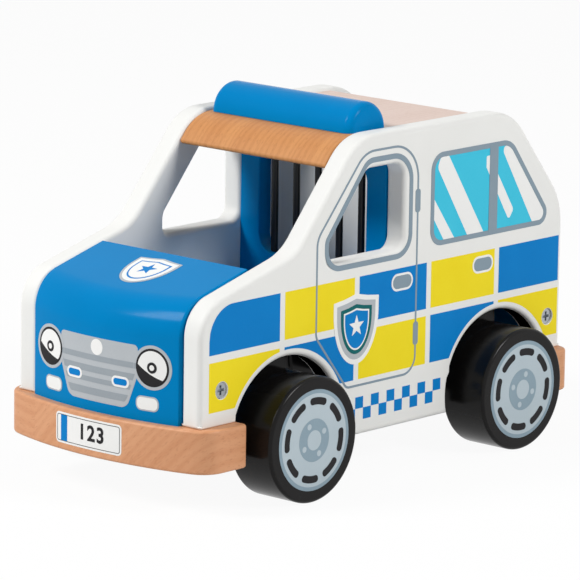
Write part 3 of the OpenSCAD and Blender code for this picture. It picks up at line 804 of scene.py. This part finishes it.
def badge(centre, width, height, inks):
    """A plain shield badge: (ink, inset) from its margin inwards, each on the one before, and last the star's
    ink with its radius as a share of the width."""
    layers = [(ink, filled(shield(centre, width - 2 * inset, height - 2 * inset)), 3 + i, True)
              for i, (ink, inset) in enumerate(inks[:-1])]
    middle = np.array(centre) + (0, height * STAR_RISE)
    return layers + [(inks[-1][0], filled(star(middle, width * inks[-1][1])), 3 + len(layers), True)]


def side_prints():
    """Every print on a side panel, as (ink, grid, layer, loop)."""
    prints = []
    for row, first in ((TOP_ROW, 0), (BOTTOM_ROW, 1)):
        for column in range(5):
            ink = (ink_blue, ink_yellow)[(column + first) % 2]
            prints += [(ink, grid, 1, loop) for grid, loop in check(column, row)]
    prints += [(ink_blue, grid, 1, False) for grid in sill_checks()]
    prints.append((ink_grey, band(drawn_in(DOOR, -DOOR_LINE_W / 2), DOOR_LINE_W), 2, True))
    prints.append((ink_grey, band(WINDOW_FRAME, WINDOW_FRAME_W), 2, True))
    prints.append((ink_cyan, filled(drawn_in(REAR_WINDOW, 1), centre=REAR_WINDOW_MIDDLE), 1, True))
    prints += [(ink_white, filled(glint), 2, True) for glint in GLINTS]
    prints.append((ink_grey, band(REAR_WINDOW, REAR_FRAME_W), 3, True))
    prints.append(spot(ink_grey, 4, *REAR_POST))
    for place in DOOR_PULLS:
        prints += [spot(ink_white, 3, place, *PULL_MARGIN), spot(ink_grey, 4, place, *PULL_PLATE)]
    prints += [spot(ink_grey, 3, (HINGE_Y, z), *HINGE_SIZE) for z in HINGE_Z]
    return prints + badge(*DOOR_BADGE, DOOR_BADGE_INKS)


def add_prints(prefix, prints, surface, body):
    """Adds prints to a surface, one piece for each ink."""
    inks = {}
    for ink, grid, layer, loop in prints:
        inks.setdefault(ink.name, (ink, []))[1].append(sheet(grid, surface, layer, loop))
    for ink_name, (ink, shapes) in inks.items():
        add_piece(f"{prefix}_{ink_name}", shapes, ink, body)


def side_surface(side):
    """The outer face of a side panel: u along the car from mid wheelbase, v up, w outwards."""
    return lambda u, v, w: np.stack([side * (outer_x + w) + 0 * u, u + mid_y, v + 0 * w], -1)


for side_name, side in SIDES:
    add_prints(side_name + "_side", side_prints(), side_surface(side), "body")


# Painted shade inside the wheel arches: a matt black sheet on each arch's white cut face, where shade falls
# in the gap above the tyre

ARCH_SHADE_EDGE, ARCH_SHADE_CLEAR, ARCH_SHADE_STEPS = 2.05, 3.0, 60


def arch_surface(end, side):
    """The cut face of a wheel arch: u is the angle round the axle, v across the board, w towards the axle."""
    return lambda u, v, w: np.stack([side * v + 0 * w, axle_y[end] + (ARCH_R - w) * np.cos(u),
                                     wheel_r + (ARCH_R - w) * np.sin(u)], -1)


def arch_shade_strip(end):
    """A strip of painted shade round an arch's cut face, from its foot to the sill, clear of the rounded
    edges.
    """
    low, high = (-sill_angle, 180 - foot_angle) if end == "front" else (foot_angle, 180 + sill_angle)
    angles = np.linspace(low + ARCH_SHADE_CLEAR, high - ARCH_SHADE_CLEAR, ARCH_SHADE_STEPS)
    inner = np.full(ARCH_SHADE_STEPS, inner_x + ARCH_SHADE_EDGE)
    return strip(np.radians(angles), inner, np.full(ARCH_SHADE_STEPS, outer_x - ARCH_SHADE_EDGE))


# Each arch gets a black sheet of painted shade on its cut face
for end in ENDS:
    for side_name, side in SIDES:
        painted = sheet(arch_shade_strip(end), arch_surface(end, side), 1, False)
        add_piece(f"{end}_{side_name}_arch_paint", [painted], arch_shade_black, "body")


# Prints on the nose, the bonnet and the bumper

def nose_surface(u, v, w):
    """The bowed front: u across the car, v up, w forwards."""
    return np.stack([u + 0 * w, nose_front(u) - w, v + 0 * w], -1)


def bonnet_surface(u, v, w):
    """The sloping bonnet: u across the car, v along it, w square to it."""
    tilt = math.atan(BONNET_RISE)
    return np.stack([u + 0 * w, v - w * math.sin(tilt), bonnet_z(v) + w * math.cos(tilt)], -1)


bumper_front_y = corners("front_bumper")[0][1]


def bumper_surface(u, v, w):
    """The bowed front of the front bumper: u across the car, v up, w forwards."""
    return np.stack([u + 0 * w, bumper_front_y + bow(u, BUMPER_BOW_R) - w, v + 0 * w], -1)


LAMP_X, LAMP_Z = 30.4, 62.3
LAMP_SPOTS = ((ink_silver, 9.7), (ink_black, 8.3), (ink_white, 7.3))
BULB_SPOTS = ((ink_black, 2.4), (ink_white, 1.2))
LAMP_SHADE_R, LAMP_SHADE_BOW, LAMP_SHADE_HALF, LAMP_SHADE_TURN = 7.35, 30.0, 7.0, -25.0
FOG_X, FOG_Z = 28.0, 46.4
FOG_MARGIN, FOG_LENS = (11.6, 6.4, 2.7), (10.4, 5.2, 2.2)
VENT_X, VENT_Z = 13.7, 53.9
VENT_MARGIN, VENT_SLOT = (9.6, 4.8, 2.3), (7.4, 2.8, 1.3)
NOSE_SPOT_Z, NOSE_SPOT_R = 67.0, 3.5
GRILLE = rounded([(-17.3, 43.0), (17.3, 43.0), (24, 61), (22.6, 71.1), (-22.6, 71.1), (-24, 61)],
                 [5, 5, 3, 2, 2, 3])
GRILLE_INSIDE = ((44, 47, 61), (14.6, 17.2, 22.4))
GRILLE_RINGS, BAND_ROWS, BAND_STEPS, SHADE_STEPS = 8, 4, 40, 30
GRILLE_BANDS = ((45.6, 48.7), (51.2, 53.4), (55.5, 58.4), (60.8, 63.3))


def grille_half(z):
    """Half the grille's width inside its border at z."""
    return np.interp(z, *GRILLE_INSIDE)


def lamp_prints(x):
    """A round lamp: rings, a dark shade along the foot of its lens between two arcs, and a bulb."""
    centre = np.array([x, LAMP_Z])
    prints = [(ink, disc(centre, r), 2 + i, True) for i, (ink, r) in enumerate(LAMP_SPOTS)]
    u = np.linspace(-LAMP_SHADE_HALF, LAMP_SHADE_HALF, SHADE_STEPS)
    low = -np.sqrt(LAMP_SHADE_R ** 2 - u ** 2)
    high = low[0] + math.sqrt(LAMP_SHADE_BOW ** 2 - u[0] ** 2) - np.sqrt(LAMP_SHADE_BOW ** 2 - u ** 2)
    turn = math.radians(LAMP_SHADE_TURN)
    across_way, up_way = (math.cos(turn), math.sin(turn)), (-math.sin(turn), math.cos(turn))
    shade = strip(u, low, high) @ np.array([across_way, up_way])
    prints.append((ink_black, shade + centre, 5, False))
    return prints + [(ink, disc(centre, r), 6 + i, True) for i, (ink, r) in enumerate(BULB_SPOTS)]


def nose_prints():
    """Grille, lamps and vents on the nose."""
    prints = [(ink_silver, filled(GRILLE, GRILLE_RINGS), 1, True)]
    for low, high in GRILLE_BANDS:
        z = np.linspace(low, high, BAND_ROWS)[:, None]
        x = grille_half(z) * np.linspace(-1, 1, BAND_STEPS)
        prints.append((ink_steel, np.stack([x, z + 0 * x], -1), 2, False))
    prints.append((ink_white, disc((0, NOSE_SPOT_Z), NOSE_SPOT_R), 2, True))
    for side in (-1, 1):
        prints += lamp_prints(side * LAMP_X)
        fog, vent = (side * FOG_X, FOG_Z), (side * VENT_X, VENT_Z)
        prints += [spot(ink_silver, 2, fog, *FOG_MARGIN), spot(ink_white, 3, fog, *FOG_LENS),
                   spot(ink_white, 3, vent, *VENT_MARGIN), spot(ink_blue, 4, vent, *VENT_SLOT)]
    return prints


BONNET_BADGE = ((0, -96.5), 25, 24)
BONNET_BADGE_INKS = [(ink_silver, 0), (ink_white, 1.2), (ink_blue, 3.4), (ink_white, 4.3), (ink_blue, 0.19)]
PLATE_X, PLATE_Z, PLATE_W, PLATE_H, PLATE_R = -1.5, 29.4, 39.6, 13.6, 2.0
PLATE_RINGS, PLATE_LINE_INSET, PLATE_LINE_W = 16, 0.9, 0.25
PLATE_BAND_IN, PLATE_BAND_W, PLATE_BAND_CLEAR, PLATE_BAND_R = 5.4, 4.0, 2.3, 0.2
PLATE_NUMBERS, FIGURE_SIZE, FIGURES_PAST_MIDDLE = "123", 9.5, 2.5
FIGURE_SPACE, FIGURE_WEIGHT, FIGURE_HALF_T = 1.15, 0.25, 0.04


def plate_prints():
    """A plain plate: white, a thin dark line inside its edge and a blue band."""
    outer = pill((PLATE_X, PLATE_Z), PLATE_W, PLATE_H, PLATE_R)
    band_x = PLATE_X - PLATE_W / 2 + PLATE_BAND_IN
    return [(ink_white, filled(outer, PLATE_RINGS), 1, True),
            (ink_black, band(drawn_in(outer, PLATE_LINE_INSET), PLATE_LINE_W), 2, True),
            spot(ink_blue, 3, (band_x, PLATE_Z), PLATE_BAND_W, PLATE_H - PLATE_BAND_CLEAR, PLATE_BAND_R)]


def plate_numbers():
    """Plain figures as a flat mesh, laid on the bowed bumper by moving each point out to it."""
    figures = bpy.data.curves.new("plate_figures", "FONT")
    figures.body, figures.size = PLATE_NUMBERS, FIGURE_SIZE
    figures.align_x, figures.align_y = "CENTER", "CENTER"
    figures.space_character, figures.offset, figures.extrude = FIGURE_SPACE, FIGURE_WEIGHT, FIGURE_HALF_T
    holder = placed("plate_figures_curve", figures)
    bpy.context.view_layer.update()
    mesh = bpy.data.meshes.new_from_object(holder.evaluated_get(bpy.context.evaluated_depsgraph_get()))
    flat = np.zeros(len(mesh.vertices) * 3)
    mesh.vertices.foreach_get("co", flat)
    flat = flat.reshape(-1, 3)
    mesh.calc_loop_triangles()
    faces = np.zeros(len(mesh.loop_triangles) * 3, int)
    mesh.loop_triangles.foreach_get("vertices", faces)
    bpy.data.objects.remove(holder)
    bpy.data.meshes.remove(mesh)
    u, v, w = flat[:, 0] + PLATE_X + FIGURES_PAST_MIDDLE, flat[:, 1] + PLATE_Z, flat[:, 2] + LAYER * 2
    points = bumper_surface(u, v, w)
    return points, [faces.reshape(-1, 3)]


add_prints("nose", nose_prints(), nose_surface, "body")
add_prints("bonnet_badge", badge(*BONNET_BADGE, BONNET_BADGE_INKS), bonnet_surface, "body")
add_prints("plate", plate_prints(), bumper_surface, "body")
add_piece("plate_figures", [plate_numbers()], ink_black, "body")


# Wheel prints

HUB_PRINT_R, RIM_W = 22.2, 1.7
SLOT_COUNT, SLOT_R, SLOT_W, SLOT_END_R, SLOT_SPAN, SLOT_TURN = 8, 17.2, 3.2, 1.45, 34.5, -8.0
RIM_STEPS = 120
HUB_R, CAP_R, BOLT_R, BOLT_RING = 9.5, 4.4, 1.3, 7.0
HUB_TURN = {"front": 27.0, "rear": -16.0}


def wheel_slot(angle):
    """A slot with round ends that follows the rim: its outline is bent from a straight pill onto a circle."""
    grid = filled(pill((0, 0), math.radians(SLOT_SPAN) * SLOT_R, SLOT_W, SLOT_END_R), 5)
    t, r = math.radians(angle) - grid[..., 0] / SLOT_R, SLOT_R + grid[..., 1]
    return np.stack([r * np.cos(t), r * np.sin(t)], -1)


def wheel_prints(end):
    """The printed hub: rim ring, slots, hub disc, cap and four bolts."""
    middle = (0, 0)
    prints = [(ink_rim, disc(middle, HUB_PRINT_R, RIM_STEPS), 1, True),
              (ink_hub, disc(middle, HUB_PRINT_R - RIM_W, RIM_STEPS), 2, True)]
    prints += [(ink_black, wheel_slot(SLOT_TURN + i * 360 / SLOT_COUNT), 3, True) for i in range(SLOT_COUNT)]
    prints += [(ink_rim, disc(middle, HUB_R), 3, True), (ink_hub, disc(middle, CAP_R), 4, True)]
    bolts = arc(middle, BOLT_RING, HUB_TURN[end], HUB_TURN[end] + 270, 4)
    return prints + [(ink_hub, disc(bolt, BOLT_R), 4, True) for bolt in bolts]


def wheel_surface(end, side):
    """The outer face of a wheel: u along the car and v up from its middle, w outwards."""
    return lambda u, v, w: np.stack([side * (wheel_out_x + w) + 0 * u, u + axle_y[end],
                                     v + wheel_r + 0 * w], -1)


for end in ENDS:
    for side_name, side in SIDES:
        add_prints(f"{end}_{side_name}_hub", wheel_prints(end), wheel_surface(end, side), end + "_axle_set")


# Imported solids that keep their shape

KEPT = {
    "cell_bars": black_enamel, "floor_panel": blue_paint, "front_axle_beam": black_paint,
    "rear_axle_beam": black_paint, "front_axle": zinc, "rear_axle": zinc, "front_washers": nylon,
    "rear_washers": nylon, "tailgate_pins": zinc, "tailgate_knob": cross_beech, "side_screws": zinc,
    "bumper_screws": zinc, "light_bar_dowels": cross_beech, "roof_dowels": cross_beech,
    "beam_dowels": cross_beech,
}
for node_name, finish in KEPT.items():
    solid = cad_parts[node_name].data
    solid.materials.clear()
    solid.materials.append(finish)


# Stage, light and camera

def seen_directly(tree):
    """One where the camera, a reflection or glass sees the surface, and nought for light that it sends on."""
    rays = add_node(tree, "ShaderNodeLightPath").outputs
    clear = worked_out(tree, "MAXIMUM", rays["Is Camera Ray"], rays["Is Glossy Ray"])
    return worked_out(tree, "MAXIMUM", clear, rays["Is Transmission Ray"])


FLOOR_WHITE, FLOOR_PAPER, FLOOR_BOUNCE, FLOOR_HALF = 0.94, "#f6f6f6", "#dadada", 6.0
WORLD_LIGHT = 0.2


def studio_floor():
    """A pale floor that the camera and reflections see as near white, with the car's shadow kept in it."""
    finish, tree, _ = new_finish("pale_studio_floor")
    paper = add_node(tree, "ShaderNodeBsdfDiffuse", {"Color": linear(FLOOR_PAPER)})
    glow = add_node(tree, "ShaderNodeEmission", {"Color": (1, 1, 1, 1), "Strength": 1.0})
    bounce = add_node(tree, "ShaderNodeBsdfDiffuse", {"Color": linear(FLOOR_BOUNCE)})
    white = add_node(tree, "ShaderNodeMixShader", {0: FLOOR_WHITE, 1: paper.outputs[0], 2: glow.outputs[0]})
    mixed = add_node(tree, "ShaderNodeMixShader", {0: seen_directly(tree), 1: bounce.outputs[0],
                                                   2: white.outputs[0]})
    add_node(tree, "ShaderNodeOutputMaterial", {"Surface": mixed.outputs[0]})
    mesh = bpy.data.meshes.new("studio_floor")
    square = [(x * FLOOR_HALF, y * FLOOR_HALF, 0) for x, y in ((-1, -1), (1, -1), (1, 1), (-1, 1))]
    mesh.from_pydata(square, [], [(0, 1, 2, 3)])
    mesh.materials.append(finish)
    floor = placed("studio_floor", mesh)


def studio_world():
    """Soft light from all round, and white where the camera or a reflection sees past the floor."""
    world = bpy.data.worlds.new("studio")
    world.use_nodes = True
    tree = world.node_tree
    tree.nodes.clear()
    soft = add_node(tree, "ShaderNodeBackground", {"Color": (1, 1, 1, 1), "Strength": WORLD_LIGHT})
    white = add_node(tree, "ShaderNodeBackground", {"Color": (1, 1, 1, 1), "Strength": 1.0})
    mixed = add_node(tree, "ShaderNodeMixShader", {0: seen_directly(tree), 1: soft.outputs[0],
                                                   2: white.outputs[0]})
    add_node(tree, "ShaderNodeOutputWorld", {"Surface": mixed.outputs[0]})
    bpy.context.scene.world = world


LAMPS_FACE = (0, 0, 0.08)


def softbox(name, place, size, power):
    """A square lamp in metres and watts that faces the car."""
    lamp = bpy.data.lights.new(name, "AREA")
    lamp.size, lamp.energy = size, power
    aim = (Vector(LAMPS_FACE) - Vector(place)).to_track_quat("-Z", "Y")
    placed(name, lamp).matrix_world = Matrix.Translation(place) @ aim.to_matrix().to_4x4()


CAMERA_TURN, CAMERA_RISE, CAMERA_ROLL = 42.18, 11.74, 0.855
CAMERA_AIM = np.array([15.64, -20.97, 79.09])
CAMERA_DISTANCE = 2090.6
CAMERA_LENS, CAMERA_SENSOR = 294.55, 36.0


def photo_camera():
    """A long lens at the photo's angle: turned from the car's front towards its left side, then raised."""
    turn, rise, roll = map(math.radians, (CAMERA_TURN, CAMERA_RISE, CAMERA_ROLL))
    back = np.array([math.sin(turn) * math.cos(rise), -math.cos(turn) * math.cos(rise), math.sin(rise)])
    level = np.array([math.cos(turn), math.sin(turn), 0])
    above = np.cross(back, level)
    right = math.cos(roll) * level + math.sin(roll) * above
    up = math.cos(roll) * above - math.sin(roll) * level
    place = (CAMERA_AIM + CAMERA_DISTANCE * back) * MM
    lens = bpy.data.cameras.new("photo_camera")
    lens.lens, lens.sensor_width, lens.sensor_fit = CAMERA_LENS, CAMERA_SENSOR, "HORIZONTAL"
    camera = placed("photo_camera", lens)
    camera.matrix_world = Matrix([*np.column_stack([right, up, back, place]).tolist(), [0, 0, 0, 1]])
    bpy.context.scene.camera = camera


studio_floor()
studio_world()
softbox("key_softbox", (-0.75, -1.35, 1.35), 0.6, 32)
softbox("side_softbox", (1.6, 0.4, 1.1), 0.6, 21.5)
photo_camera()

bpy.context.scene.view_settings.view_transform = "Standard"
